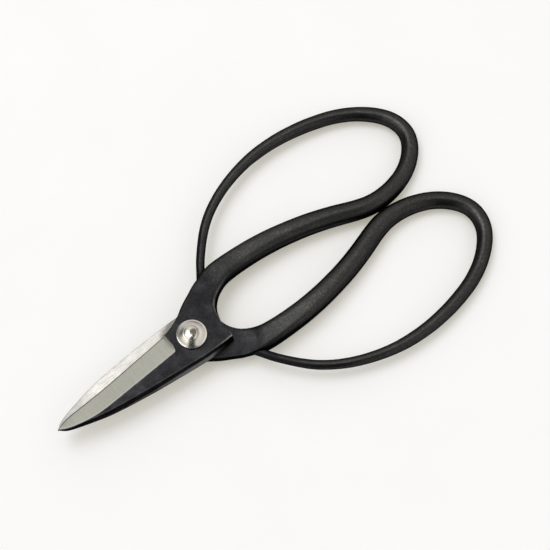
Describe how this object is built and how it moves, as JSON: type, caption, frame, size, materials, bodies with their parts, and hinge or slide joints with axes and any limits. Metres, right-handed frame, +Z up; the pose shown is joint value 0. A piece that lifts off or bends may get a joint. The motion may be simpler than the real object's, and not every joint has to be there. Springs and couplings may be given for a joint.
{
  "type": "floral snips",
  "caption": "Hand-forged floral snips: crossed halves with short ground blades and large closed finger bows, turning on a riveted pivot with domed washers.",
  "frame": {"origin": "on the pivot's axis, at the flat lower end of the rivet that the closed tool stands on", "axes": "+X from the pivot towards the finger bows, with the blades towards -X; +Y towards the upper half's bow; +Z up along the pivot's axis"},
  "size_m": [0.18, 0.1018, 0.0162],
  "materials": {
    "black_oxide_steel": "satin black oxide over forged steel, with the blade bevels and inner faces ground bright",
    "bright_nickel": "turned and polished, nickel bright"
  },
  "bodies": {
    "lower": {"lower_half": "black_oxide_steel", "pivot_rivet": "bright_nickel", "upper_washer": "bright_nickel", "lower_washer": "bright_nickel"},
    "upper": {"upper_half": "black_oxide_steel"}
  },
  "joints": [
    {"name": "blade_pivot", "type": "hinge", "parent": "lower", "child": "upper", "pos_m": [0, 0, 0.0081], "axis": [0, 0, 1], "range_deg": [0, 40]}
  ]
}
